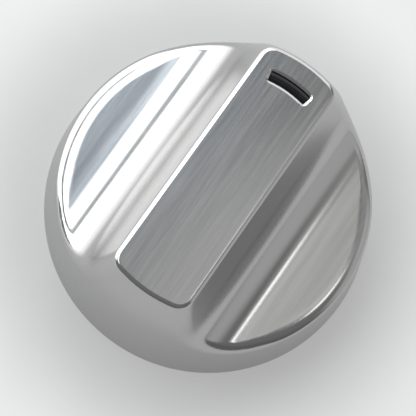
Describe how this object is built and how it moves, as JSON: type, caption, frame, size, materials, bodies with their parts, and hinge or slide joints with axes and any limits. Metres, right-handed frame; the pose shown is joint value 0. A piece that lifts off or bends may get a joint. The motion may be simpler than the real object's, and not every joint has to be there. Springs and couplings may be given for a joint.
{
  "type": "oven control knob",
  "caption": "Round brushed metal oven knob with a raised grip bar, D-shaped shoulders, a curved black indicator and a moulded hub with a D bore.",
  "frame": {"origin": "centre of the base rim, on the plane that the knob stands on", "axes": "+Z out of the front of the knob, along the shaft; +Y along the grip bar towards the indicator; +X across the bar"},
  "size_m": [0.05, 0.05, 0.025],
  "materials": {
    "brushed_shell": "satin brushed along the grip bar",
    "indicator_black": "gloss",
    "hub_black": "fine moulded texture",
    "spring_steel": "rolled strip"
  },
  "bodies": {
    "root": {"knob_shell": "brushed_shell", "indicator_insert": "indicator_black", "shaft_hub": "hub_black", "shaft_spring": "spring_steel"}
  },
  "joints": []
}
